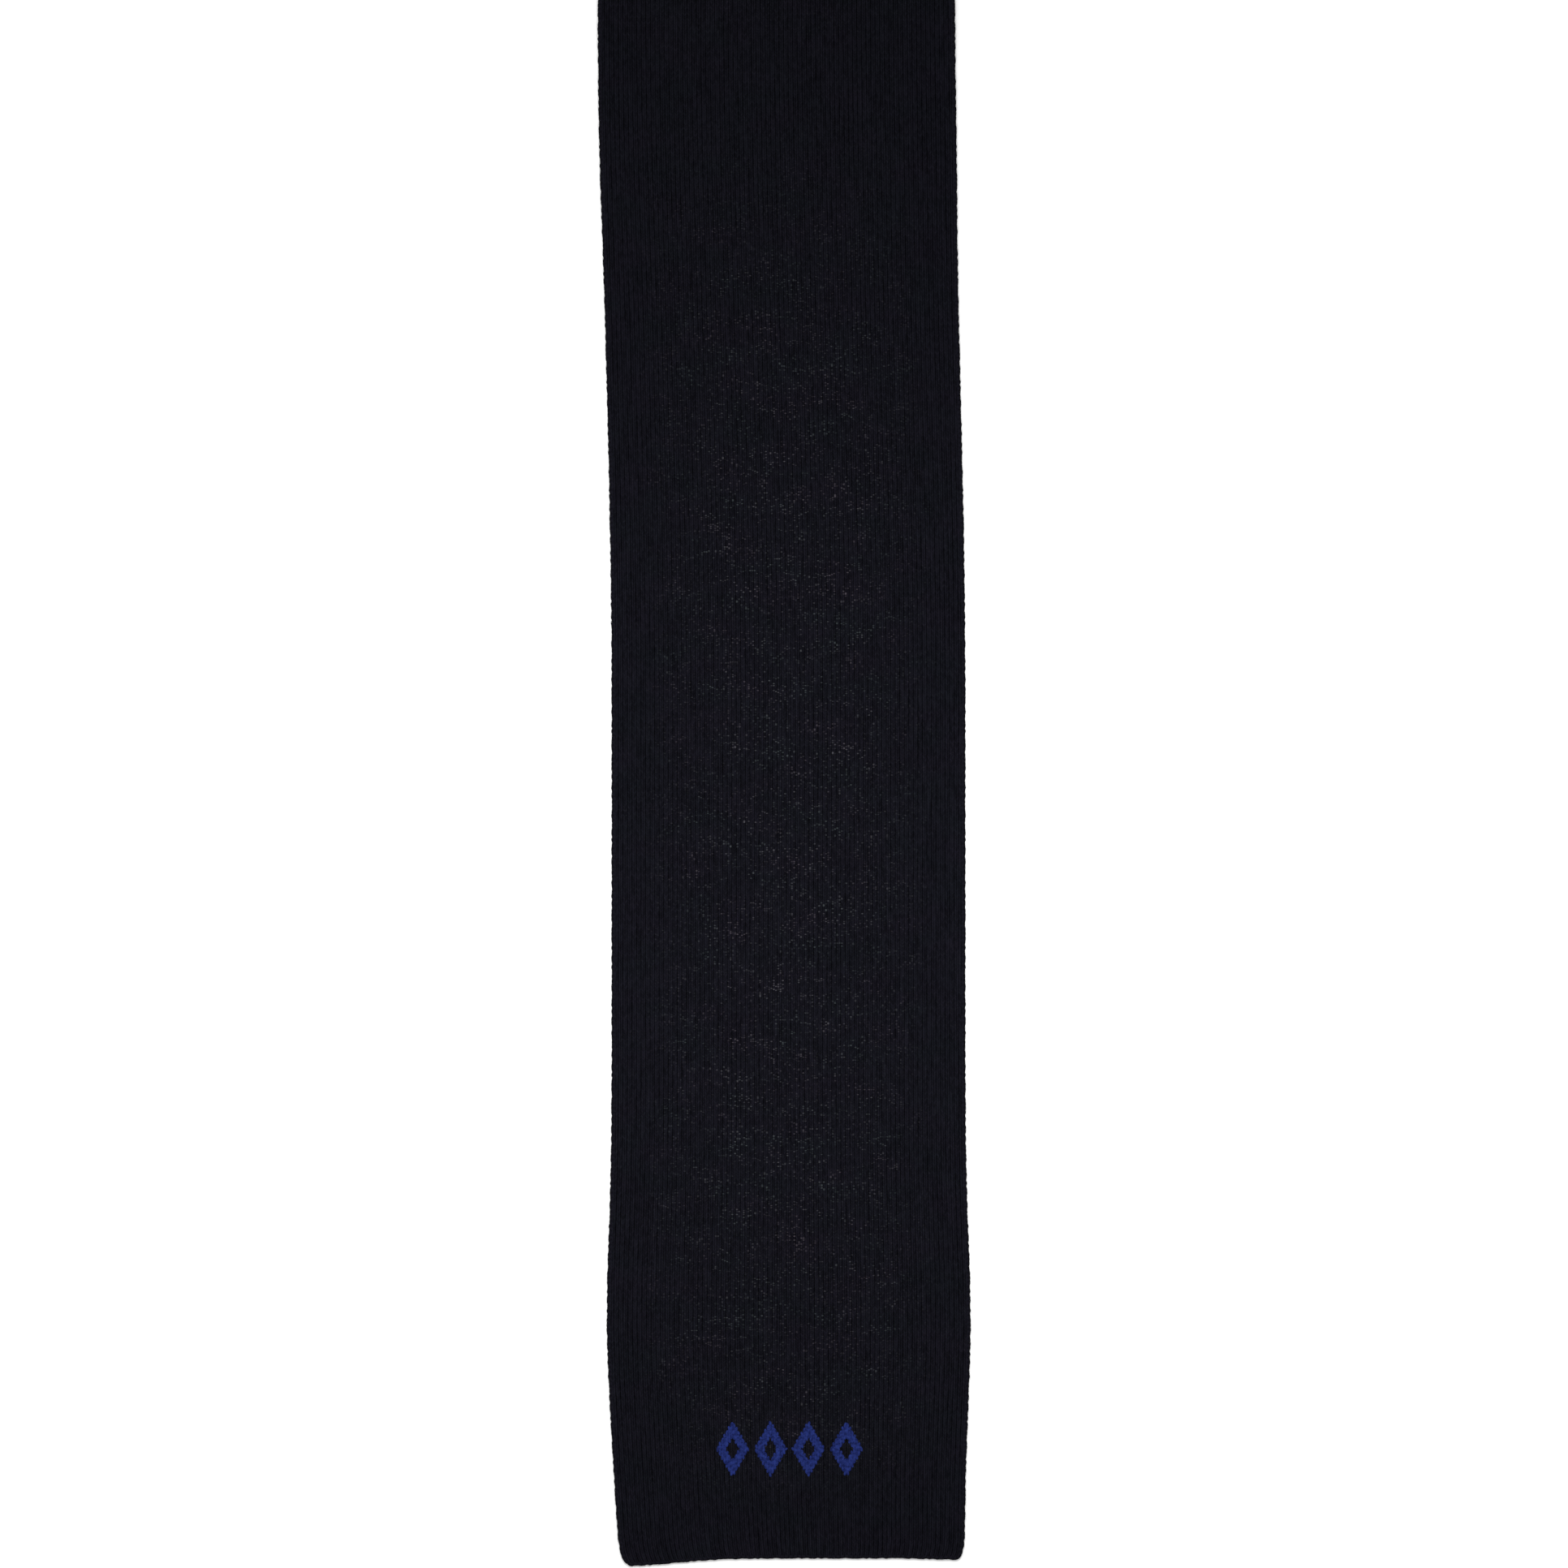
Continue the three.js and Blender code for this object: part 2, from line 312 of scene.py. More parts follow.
def settled_sheet():
    """A coarse sheet of cloth with the scarf's length and width, laid down with slow waves
    in it and left to settle on a hard floor. Gives the heights of its grid."""
    reach = cad_high[:2] - cad_low[:2]
    columns, rows = (int(side / CLOTH_CELL) + 1 for side in reach)
    y, x = np.meshgrid(
        np.linspace(-reach[1] / 2, reach[1] / 2, rows),
        np.linspace(-reach[0] / 2, reach[0] / 2, columns),
        indexing="ij",
    )
    z = 0.004 + 0.0016 * np.sin(31 * y + 4 * x + 0.8) + 0.0012 * np.sin(17 * y - 9 * x - 1.3)
    z = z + 0.0009 * np.sin(52 * y + 14 * x)
    corner = np.arange(rows * columns).reshape(rows, columns)
    quads = np.stack(
        [corner[:-1, :-1], corner[:-1, 1:], corner[1:, 1:], corner[1:, :-1]], axis=-1
    ).reshape(-1, 4)
    mesh = bpy.data.meshes.new("settling_sheet")
    mesh.from_pydata(np.stack([x, y, z], axis=-1).reshape(-1, 3), [], quads.tolist())
    sheet = bpy.data.objects.new("settling_sheet", mesh)
    table_mesh = bpy.data.meshes.new("settling_table")
    table_mesh.from_pydata([(-1, -1, 0), (1, -1, 0), (1, 1, 0), (-1, 1, 0)], [], [(0, 1, 2, 3)])
    table = bpy.data.objects.new("settling_table", table_mesh)
    for made in (sheet, table):
        bpy.context.scene.collection.objects.link(made)
    table.modifiers.new("hard", "COLLISION")
    table.collision.thickness_outer = 0.001
    table.collision.cloth_friction = 25
    cloth = sheet.modifiers.new("cloth", "CLOTH")
    cloth.settings.quality = 8
    cloth.settings.mass = 0.05
    cloth.settings.bending_stiffness = 5.0
    cloth.settings.air_damping = 2.0
    cloth.collision_settings.distance_min = 0.001
    cloth.point_cache.frame_end = CLOTH_FRAMES
    for step in range(1, CLOTH_FRAMES + 1):
        bpy.context.scene.frame_set(step)
    settled = sheet.evaluated_get(bpy.context.evaluated_depsgraph_get()).data
    heights = np.empty(len(settled.vertices) * 3, np.float32)
    settled.vertices.foreach_get("co", heights)
    bpy.data.objects.remove(sheet)
    bpy.data.objects.remove(table)
    bpy.context.scene.frame_set(1)
    return x[0], y[:, 0], heights.reshape(rows, columns, 3)[..., 2].astype(float)


settled_x, settled_y, settled_z = settled_sheet()


def nearness(place, grid):
    """The share that each grid line has at a place: a bell curve one cell wide."""
    share = np.exp(-(((np.ravel(place)[:, None] - grid) / CLOTH_CELL) ** 2))
    return share / share.sum(axis=1, keepdims=True)


def ease(value, low, high):
    """0 below low, 1 above high, and a smooth step between them."""
    share = np.clip((value - low) / (high - low), 0.0, 1.0)
    return share * share * (3 - 2 * share)


def lift(x, y):
    """How far the fabric stands off the floor: a share of the settled sheet's height, none
    where the scarf folds in half, and the label's own thickness over the label."""
    x, y = np.broadcast_arrays(x, y)
    swell = (nearness(y, settled_y) @ settled_z * nearness(x, settled_x)).sum(axis=1)
    swell = np.clip(SWELL_SHARE * (swell.reshape(x.shape) - CLOTH_REST), 0.0, SWELL_MOST)
    still = 1 - np.exp(-((y / FOLD_STILL) ** 2))
    over = ease(x, label_low.x - 2 * LABEL_EASE, label_low.x - LABEL_EASE / 2)
    over = over * ease(y, label_low.y - 2 * LABEL_EASE, label_low.y - LABEL_EASE / 2)
    over = over * ease(-y, -label_high.y - 2 * LABEL_EASE, -label_high.y - LABEL_EASE / 2)
    return np.maximum(still * swell, LABEL_ROOM * over)


def row_heights():
    """Where the rows lie along the scarf: close together where it folds and at its ends."""
    fine_reach = 0.009
    body_start = 0.0155
    fold = np.linspace(-fine_reach, fine_reach, 25)
    ends = np.array([0.0, 0.00025, 0.00075, 0.0014, 0.0024, 0.0042, 0.0064])
    inset_end = HALF_LENGTH - LAYER_INSET
    body = np.linspace(body_start, inset_end - fine_reach, 106)
    half = np.concatenate([body, inset_end - ends[::-1]])
    return np.concatenate([-half[::-1], fold, half])


def knitted_layer(name, inner, outer, material):
    """One knitted panel as a closed ring carried up the scarf. The outer side runs through
    every wale as a rounded ridge, |sin| raised to a power, the inner side is plain, and the
    two ends are closed by strips of faces."""
    outward = np.sign(outer - inner)
    rows = row_heights()
    ribbed = np.arange(WALES * POINTS_PER_WALE + 1) / POINTS_PER_WALE
    plain = np.arange(WALES, -1, -1.0)
    wale = np.concatenate([ribbed, plain])
    ridge = np.abs(np.sin(np.pi * ribbed)) ** RIB_ROUNDNESS
    height = np.concatenate(
        [outer - outward * RIB_DEPTH * (1 - ridge), np.full(len(plain), inner)]
    )
    across = np.broadcast_to(2 * wale / WALES - 1, (len(rows), len(wale)))
    along = np.broadcast_to(rows[:, None], across.shape)
    x, y = lie(across, along, LAYER_INSET)
    points = np.stack([x, y, height + lift(x, y)], axis=-1)
    level = np.concatenate([ridge, np.zeros(len(plain))])
    stitch = np.stack(
        [np.broadcast_to(wale, x.shape), along / COURSE, np.broadcast_to(level, x.shape)], axis=-1
    )
    count = len(wale)
    ring = np.arange(count)
    next_one = np.roll(ring, -1)
    starts = np.arange(len(rows) - 1)[:, None] * count
    quads = np.stack(
        [starts + ring, starts + next_one, starts + next_one + count, starts + ring + count],
        axis=-1,
    ).reshape(-1, 4)
    caps = []
    for w in range(WALES):
        top = [w * POINTS_PER_WALE + i for i in range(POINTS_PER_WALE + 1)]
        bottom = [count - 2 - w, count - 1 - w]
        caps.append([*top[::-1], bottom[1], bottom[0]])
    last = (len(rows) - 1) * count
    faces = quads.tolist() + caps + [[last + i for i in cap[::-1]] for cap in caps]
    if outward < 0:
        faces = [face[::-1] for face in faces]
    return new_mesh(name, points, faces, material, stitch)


YARN_ROUGHNESS = 0.9
YARN_GLOSS = 0.02
LEG_SLOPE = 0.9
# Where the painted glints thin out: wales from the middle, courses out to the ends, and courses
# from the fold.
GLINT_SIDEWAYS = 33
GLINT_ALONG = 482
GLINT_FOLD_REACH = 70


def knit_cloth(name, shade, cool_shade, gap_shade, painted_glint_shade, cool_painted_glint_shade, painted_glint_share):
    """Stocking stitch in a soft spun yarn. Each wale is a column of V-shaped stitches whose
    two legs are round, so the height is a parabola across each leg times a parabola along
    it, slanted by how far out it is. The colour follows the height, darkening to painted
    shade in the gaps between the legs and the wales, and drifts along the wales and from
    leg to leg. Here and there a short dash is painted light as a glint, in loose patches
    that thin out towards the sides (in wales) and towards the ends and the fold (in courses)."""
    material, tree = new_material(
        name, Roughness=YARN_ROUGHNESS, Specular_IOR_Level=YARN_GLOSS
    )
    place = tree.node("Attribute", {"attribute_name": "stitch"}, output=1)
    wale, course, _ = tree.split(place)
    leg = wale * 2
    out = (wale.math("FRACT") - 0.5).math("ABSOLUTE") * 2
    side = leg.math("FRACT") * 2 - 1
    slanted = course - out * LEG_SLOPE
    run = slanted.math("FRACT") * 2 - 1
    loop = 1 - run * run
    crest = 1 - side * side
    height = crest ** 0.6 * (0.65 + 0.35 * loop) * (1.15 - 0.55 * out * out)
    cell = tree.node(
        "CombineXYZ", None, {0: leg.math("FLOOR"), 1: slanted.math("FLOOR"), 2: 0.0}
    )
    chance = tree.node("TexWhiteNoise", {"noise_dimensions": "3D"}, {"Vector": cell})
    streak_place = tree.node("Mapping", None, {"Vector": place, "Scale": (1.9, 0.08, 1.0)})
    streak = tree.node("TexNoise", None, {"Vector": streak_place, "Scale": 1.0, "Detail": 4.0})
    patch = tree.node("TexNoise", None, {"Vector": place, "Scale": 0.13, "Detail": 3.0})
    # Painted shade: the colour falls towards gap_shade where the stitch height is low, in the
    # gaps between the legs and the wales.
    tone = 0.04 + 0.64 * height + 0.3 * (chance - 0.5) + 0.8 * (streak - 0.5)
    cast = tree.node("TexNoise", None, {"Vector": place, "Scale": 0.09, "Detail": 2.0})
    yarn = (cast * 3.0 - 1.0).mix(shade, cool_shade)
    cloth = tone.mix(gap_shade, yarn)
    # Painted glints: a share of short dashes on the leg crests is painted light, in patches,
    # thinning towards the sides, the ends and the fold.
    dash = tree.node(
        "CombineXYZ", None, {0: leg.math("FLOOR"), 1: (course * 3).math("FLOOR"), 2: 7.0}
    )
    luck = tree.node("TexWhiteNoise", {"noise_dimensions": "3D"}, {"Vector": dash})
    glint = ((luck - (1 - painted_glint_share)) * (1 / painted_glint_share)).math("MAXIMUM", 0.0)
    cluster = (0.46 + 2.9 * (patch - 0.5)).math("MAXIMUM", 0.05).math("MINIMUM", 1.0)
    sideways = ((wale - WALES / 2) * (1 / GLINT_SIDEWAYS)).math("ABSOLUTE")
    inner = (1 - sideways ** 2.4).math("MAXIMUM", 0.08)
    ended = (1 - (course * (1 / GLINT_ALONG)) ** 14).math("MAXIMUM", 0.06)
    glints_off_fold = 1.03 - (course * course * (-1 / GLINT_FOLD_REACH**2)).math("EXPONENT")
    painted_glints = glint * glint * crest * cluster * inner * ended * glints_off_fold
    fibre = (cast * 4.0 - 1.5).mix(painted_glint_shade, cool_painted_glint_shade)
    feed(material, "Base Color", painted_glints.mix(cloth, fibre))
    bump = tree.node("Bump", None, {"Strength": 0.6, "Distance": 0.0004, "Height": height})
    feed(material, "Normal", bump)
    return material


# The navy's own colours, the painted shade of its gaps, then the painted glint colours and their
# share of the dashes.
navy_knit = knit_cloth(
    "navy_knit",
    (0.0071, 0.0065, 0.0107, 1.0),
    (0.0062, 0.0067, 0.0099, 1.0),
    (0.0003, 0.0003, 0.0006, 1.0),
    (0.050, 0.044, 0.053, 1.0),
    (0.039, 0.047, 0.050, 1.0),
    0.17,
)
back_low, back_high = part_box("back_layer_near")
back_layer = knitted_layer("back_layer", back_high.z, back_low.z, navy_knit)
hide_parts("back_layer_near", "back_layer_far")

# ---------------------------------------------------------------------------
# Face layer. The panel that shows, knitted as the back is but with its ribbed right side
# up. It lies on the back layer, and the blue yarn of the motif is knitted into it.
face_low, face_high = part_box("face_layer_near")
face_layer = knitted_layer("face_layer", face_low.z, face_high.z, navy_knit)
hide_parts("face_layer_near", "face_layer_far")

# The fold's two ends, a little more than half a circle's length apart about the joint.
fold = next(joint for joint in frame["joints"] if joint["name"] == "half_fold")
FOLD_HALF = 0.0065
fold_start = (0.0, fold["pos_m"][1] - FOLD_HALF, thickness / 2)
fold_end = (0.0, fold["pos_m"][1] + FOLD_HALF, thickness / 2)
for layer in (back_layer, face_layer):
    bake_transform(layer)

# ---------------------------------------------------------------------------
# Seams. A yarn is wrapped over both layers' edges, stitch by stitch, and rolls them into
# one rounded rim. Two seams run up the sides, and one closes each end round its corners.
WRAP_PITCH = 0.0024
WRAP_STEPS = 6
WRAP_POINTS = 12
WRAP_HALF_WIDTH = 0.0014
WRAP_PROUD = 0.00012
WRAP_RELIEF = 0.00016
WRAP_SLANT = 0.35
WRAP_END = 0.0005
PULL_PITCH = 0.0067
PULL_RELIEF = 0.00016


def linked_seam(name, path, outward_hand, material):
    """A rim of wrapped yarn: an upright oval carried just inside the path of the outline.
    Its radius swells with each wrap, as |cos| of the length along it, slanted as it turns
    round the oval, and it waves in and out where the linking chain pulls unevenly. The two
    ends close on points. outward_hand is 1 where the path's outer side is its right."""
    steps = np.linalg.norm(np.diff(path, axis=0), axis=1)
    length = np.concatenate([[0.0], np.cumsum(steps)])
    count = int(length[-1] / WRAP_PITCH) * WRAP_STEPS
    station = np.linspace(0.0, length[-1], count)
    line = np.stack([np.interp(station, length, path[:, i]) for i in (0, 1)], axis=-1)
    tangent = np.gradient(line, axis=0)
    tangent /= np.linalg.norm(tangent, axis=1, keepdims=True)
    outward = outward_hand * np.stack([tangent[:, 1], -tangent[:, 0]], axis=-1)
    turn = np.arange(WRAP_POINTS) / WRAP_POINTS * 2 * np.pi
    wrap = station[:, None] / WRAP_PITCH + WRAP_SLANT * np.sin(turn)[None, :]
    swell = WRAP_RELIEF * (np.abs(np.cos(np.pi * wrap)) ** 0.6 - 1)
    ends = np.minimum(1.0, np.minimum(station, station[-1] - station) / WRAP_END)[:, None]
    pull = station / PULL_PITCH * 2 * np.pi
    wave = PULL_RELIEF * np.sin(pull + 2.3 * np.sin(0.23 * pull) + 1.1 * np.sin(0.61 * pull))
    shift = WRAP_PROUD - WRAP_HALF_WIDTH + wave[:, None]
    out = ends * ((WRAP_HALF_WIDTH + swell) * np.cos(turn)) + shift
    up = ends * ((thickness / 2 + swell) * np.sin(turn)) + thickness / 2
    plan = line[:, None, :] + out[..., None] * outward[:, None, :]
    points = np.concatenate([plan, (up + lift(plan[..., 0], plan[..., 1]))[..., None]], axis=-1)
    ring = np.arange(WRAP_POINTS)
    next_one = np.roll(ring, -1)
    starts = np.arange(count - 1)[:, None] * WRAP_POINTS
    quads = np.stack(
        [starts + ring, starts + ring + WRAP_POINTS,
         starts + next_one + WRAP_POINTS, starts + next_one],
        axis=-1,
    ).reshape(-1, 4)
    last = (count - 1) * WRAP_POINTS
    faces = quads.tolist() + [ring.tolist(), (last + ring[::-1]).tolist()]
    if outward_hand < 0:
        faces = [face[::-1] for face in faces]
    stitch = np.stack(
        [wrap, np.broadcast_to(turn / np.pi, wrap.shape), np.zeros(wrap.shape)], axis=-1
    )
    return new_mesh(name, points, faces, material, stitch)


def wrapped_yarn(name, shade, gap_shade):
    """Yarn wrapped over an edge, with fine plies along each wrap. Its colour carries painted
    shade between the wraps and on the outer side and underside of the roll, and a painted
    highlight along the top, a little inside the crest."""
    material, tree = new_material(
        name, Roughness=YARN_ROUGHNESS, Specular_IOR_Level=YARN_GLOSS
    )
    place = tree.node("Attribute", {"attribute_name": "stitch"}, output=1)
    wrap, round_it, _ = tree.split(place)
    # Painted highlight along the top of the roll; its outer side and underside are left in
    # painted shade.
    upper = (1 - (round_it - 0.55).math("ABSOLUTE") * 2.4).math("MAXIMUM", 0.0)
    # Painted shade between the wraps, where this ridge falls to nothing.
    ridge = (wrap * math.pi).math("COSINE").math("ABSOLUTE")
    ply = tree.node("TexNoise", None, {"Vector": place, "Scale": 2.5, "Detail": 3.0})
    tone = ridge * 0.45 + (ply - 0.5) * 0.7 + upper * 0.55
    feed(material, "Base Color", tone.mix(gap_shade, shade))
    relief = ply + ridge
    bump = tree.node("Bump", None, {"Strength": 0.5, "Distance": 0.0003, "Height": relief})
    feed(material, "Normal", bump)
    return material


# The second colour is the painted shade between the wraps and under the roll.
linking_yarn = wrapped_yarn(
    "linking_yarn", (0.0050, 0.0048, 0.0078, 1.0), (0.0006, 0.0006, 0.0010, 1.0)
)
side_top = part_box("left_seam_far")[1].y
SEAM_OVERLAP = 0.0007
side_rows = np.linspace(-side_top - SEAM_OVERLAP, side_top + SEAM_OVERLAP, 600)
for hand, side, sign in (("left", side_edges[0], -1), ("right", side_edges[1], 1)):
    path = np.stack([np.interp(side_rows, side_places, side), side_rows], axis=-1)
    seam = linked_seam(f"{hand}_seam", path, sign, linking_yarn)
    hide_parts(f"{hand}_seam_near", f"{hand}_seam_far")
    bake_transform(seam)


def end_path(sign):
    """The outline round one end: up from the left side seam's end, a corner found by rays
    that fan out from its middle, the end edge, a corner and back to the right side seam."""
    hem_x, hem_y = hem_edges[0] if sign < 0 else hem_edges[1]
    fan = np.linspace(0.0, np.pi / 2, 17)
    parts = []
    for hand, side in ((-1, side_edges[0]), (1, side_edges[1])):
        centre_y = sign * (HALF_LENGTH - CORNER_UP)
        centre = (hem_x[0], centre_y) if hand < 0 else (hem_x[-1], centre_y)
        rise = sign * np.linspace(side_top - SEAM_OVERLAP, abs(centre_y), 3)[:-1]
        start = np.stack([np.interp(rise, side_places, side), rise], axis=-1)
        corner = [edge_point(centre, (hand * math.cos(t), sign * math.sin(t))) for t in fan]
        parts.append(np.concatenate([start, corner]))
    middle = np.stack([hem_x, hem_y], axis=-1)[1:-1]
    return np.concatenate([parts[0], middle, parts[1][::-1]])


for name, body, sign in (("lower_end_seam", "near_half", -1), ("upper_end_seam", "far_half", 1)):
    seam = linked_seam(name + "_yarn", end_path(sign), -sign, linking_yarn)
    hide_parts(name)
    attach(seam, body)

# ---------------------------------------------------------------------------
# Motif. Four hollow lozenges in blue yarn, knitted into the face in place of the navy.
# Each half wale inside a lozenge's outline is filled with plump slanted legs, the left and
# right legs of the V-shaped stitches, drawn together so that the outline stays crisp.
LEG_RINGS = 5
LEG_SIDES = 8
LEG_HALF_WIDTH = 0.00082
LEG_HALF_HEIGHT = 0.00042
LEG_HALF_LENGTH = 0.00135
LEG_SLANT = 0.00026
LEG_LEAST = 0.0005
LEG_SINK = 0.0001
LEG_LAP = 0.7
LOZENGE_STROKE = 0.0044


def plump_leg():
    """A unit ball drawn out along Y: rings of points between two poles, and its faces."""
    tilt = np.linspace(0.0, np.pi, LEG_RINGS + 2)[1:-1]
    spin = np.arange(LEG_SIDES) / LEG_SIDES * 2 * np.pi
    rings = np.stack(
        [np.outer(np.sin(tilt), np.cos(spin)),
         np.outer(np.cos(tilt), np.ones(LEG_SIDES)),
         np.outer(np.sin(tilt), np.sin(spin))],
        axis=-1,
    ).reshape(-1, 3)
    points = np.concatenate([rings, [[0.0, 1.0, 0.0], [0.0, -1.0, 0.0]]])
    side = np.arange(LEG_SIDES)
    after = np.roll(side, -1)
    starts = np.arange(LEG_RINGS - 1)[:, None] * LEG_SIDES
    quads = np.stack(
        [starts + side, starts + after, starts + after + LEG_SIDES, starts + side + LEG_SIDES],
        axis=-1,
    ).reshape(-1, 4)
    last = (LEG_RINGS - 1) * LEG_SIDES
    top = [[LEG_RINGS * LEG_SIDES, b, a] for a, b in zip(side, after)]
    bottom = [[LEG_RINGS * LEG_SIDES + 1, last + a, last + b] for a, b in zip(side, after)]
    return points, quads.tolist() + top + bottom


def column_runs(x, centre, half):
    """Where one upright column at x crosses a hollow lozenge |x|/a + |y|/b <= 1, whose band
    is LOZENGE_STROKE wide: one run from end to end, or two with the hollow between them."""
    reach = 1 - abs(x - centre[0]) / half[0]
    hollow = reach - LOZENGE_STROKE * math.hypot(half[0], half[1]) / (half[0] * half[1])
    if hollow > 0:
        return [(hollow * half[1], reach * half[1]), (-reach * half[1], -hollow * half[1])]
    return [(-reach * half[1], reach * half[1])] if reach > 0 else []


def blue_yarn_finish(name, shade, gap_shade):
    """The blue yarn: denser and smoother than the navy, its plies showing as fine noise."""
    material, tree = new_material(name, Roughness=YARN_ROUGHNESS, Specular_IOR_Level=0.05)
    place = tree.node("TexCoord", output=3)
    ply = tree.node("TexNoise", None, {"Vector": place, "Scale": 1500.0, "Detail": 2.0})
    patch = tree.node("TexNoise", None, {"Vector": place, "Scale": 620.0, "Detail": 1.0})
    tone = 0.5 + (ply - 0.5) * 1.2 + (patch - 0.5) * 2.4
    feed(material, "Base Color", tone.mix(gap_shade, shade))
    bump = tree.node("Bump", None, {"Strength": 0.4, "Distance": 0.0002, "Height": ply})
    feed(material, "Normal", bump)
    return material


blue_yarn = blue_yarn_finish(
    "blue_yarn", (0.0112, 0.0200, 0.107, 1.0), (0.0036, 0.0066, 0.042, 1.0)
)
leg_points, leg_faces = plump_leg()
half_wales = (np.arange(2 * WALES) + 0.5) / 2
motif_middle = (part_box("motif_floats")[0].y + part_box("motif_floats")[1].y) / 2
half_wale_x = lie(2 * half_wales / WALES - 1, np.full(2 * WALES, motif_middle), LAYER_INSET)[0]

for number in range(1, 5):
    low, high = (np.array(corner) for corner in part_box(f"motif_{number}"))
    centre, half = (low + high) / 2, (high - low) / 2
    spots = []
    for column, x in enumerate(half_wale_x):
        for start, end in column_runs(x, centre, half):
            half_length = min(LEG_HALF_LENGTH, (end - start) / 2)
            if half_length < LEG_LEAST:
                continue
            count = max(1, round((end - start - LEG_LAP * half_length) / COURSE))
            first, last = start + half_length, end - half_length
            for y in np.linspace(first, last, count) if count > 1 else [(first + last) / 2]:
                spots.append((x, centre[1] + y, half_length, 1 - 2 * (column % 2)))
    spots = np.array(spots)[:, None, :]
    leg_y = spots[..., 1] + spots[..., 2] * leg_points[:, 1]
    leg_x = spots[..., 0] + LEG_HALF_WIDTH * leg_points[:, 0]
    leg_x = leg_x - spots[..., 3] * LEG_SLANT * leg_points[:, 1]
    rise = high[2] - LEG_SINK + LEG_HALF_HEIGHT * leg_points[:, 2] + lift(leg_x, leg_y)
    points = np.stack([leg_x, leg_y, rise], axis=-1)
    offsets = np.arange(len(spots)) * len(leg_points)
    faces = [[offset + corner for corner in face] for offset in offsets for face in leg_faces]
    motif = new_mesh(f"motif_{number}_stitches", points, faces, blue_yarn)
    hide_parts(f"motif_{number}")
    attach(motif, "near_half")

# ---------------------------------------------------------------------------
# Motif floats. Where the blue yarn isn't on the face, it is carried straight across behind
# it, one loose strand for each course, hidden between the two layers.
FLOAT_RADIUS = 0.00012
FLOAT_SIDES = 6
FLOAT_STEPS = 24
END_GIRTH = 0.3


def round_tube(path, radius, sides):
    """A round section carried along a path that is nowhere upright. It stands across the
    path, and its radius shrinks to END_GIRTH of itself at both ends, which are closed."""
    along = np.gradient(path, axis=0)
    along /= np.linalg.norm(along, axis=1, keepdims=True)
    beside = np.cross(along, (0.0, 0.0, 1.0))
    beside /= np.linalg.norm(beside, axis=1, keepdims=True)
    above = np.cross(beside, along)
    spin = np.arange(sides) / sides * 2 * np.pi
    girth = np.full(len(path), radius)
    girth[[0, -1]] *= END_GIRTH
    ring = np.cos(spin)[:, None] * beside[:, None, :] + np.sin(spin)[:, None] * above[:, None, :]
    points = path[:, None, :] + girth[:, None, None] * ring
    side = np.arange(sides)
    after = np.roll(side, -1)
    starts = np.arange(len(path) - 1)[:, None] * sides
    quads = np.stack(
        [starts + side, starts + side + sides, starts + after + sides, starts + after], axis=-1
    ).reshape(-1, 4)
    last = (len(path) - 1) * sides
    return points.reshape(-1, 3), [
        *quads.tolist(), side.tolist(), (last + side[::-1]).tolist()
    ]


float_low, float_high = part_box("motif_floats")
layer_gap = (back_high.z + face_low.z) / 2
float_points, float_faces = [], []
for y in np.arange(float_low.y + COURSE / 2, float_high.y, COURSE):
    x = np.linspace(float_low.x, float_high.x, FLOAT_STEPS)
    path = np.stack([x, np.full(FLOAT_STEPS, y), layer_gap + lift(x, y)], axis=-1)
    points, faces = round_tube(path, FLOAT_RADIUS, FLOAT_SIDES)
    float_faces += [[corner + len(float_points) * len(points) for corner in f] for f in faces]
    float_points.append(points)
floats = new_mesh("motif_float_strands", np.concatenate(float_points), float_faces, blue_yarn)
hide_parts("motif_floats")
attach(floats, "near_half")

# ---------------------------------------------------------------------------
# Care label. A blank satin tape, its root caught between the two layers in the right side
# seam. It comes out over the edge, turns down round it, and lies tucked under the back.
LABEL_SHEET = 0.00028
LABEL_ROOT = 0.0028
LABEL_BEND_IN = 0.0004
LABEL_BEND_OUT = 0.0006
LABEL_BEND_POINTS = 22
LABEL_POINTS = 40
flap = next(joint for joint in frame["joints"] if joint["name"] == "care_label_flap")
label_edge = flap["pos_m"][0]
label_floor = flap["pos_m"][2]
label_root_x = label_edge - LABEL_ROOT
root_lift = float(lift(np.array([label_root_x]), np.array([flap["pos_m"][1]]))[0])


def label_line():
    """The tape's middle line in X and Z: level from the root out to the edge, half an oval
    down round it, and straight back along the floor to the cut end. The root stands as high
    as the gap between the layers does there."""
    bend = np.linspace(np.pi / 2, -np.pi / 2, LABEL_BEND_POINTS)
    root_z = layer_gap + root_lift
    middle = (root_z + label_floor) / 2
    oval_x = label_edge - LABEL_BEND_IN + LABEL_BEND_OUT * np.cos(bend)
    oval_z = middle + (root_z - middle) * np.sin(bend)
    root_x = np.linspace(label_root_x, oval_x[0] - 0.0004, 5)
    root = np.stack([root_x, np.full(5, root_z)], axis=-1)
    tail_x = np.linspace(oval_x[-1] - 0.001, label_low.x, LABEL_POINTS)
    tail = np.stack([tail_x, np.full(LABEL_POINTS, label_floor)], axis=-1)
    return np.concatenate([root, np.stack([oval_x, oval_z], axis=-1), tail])


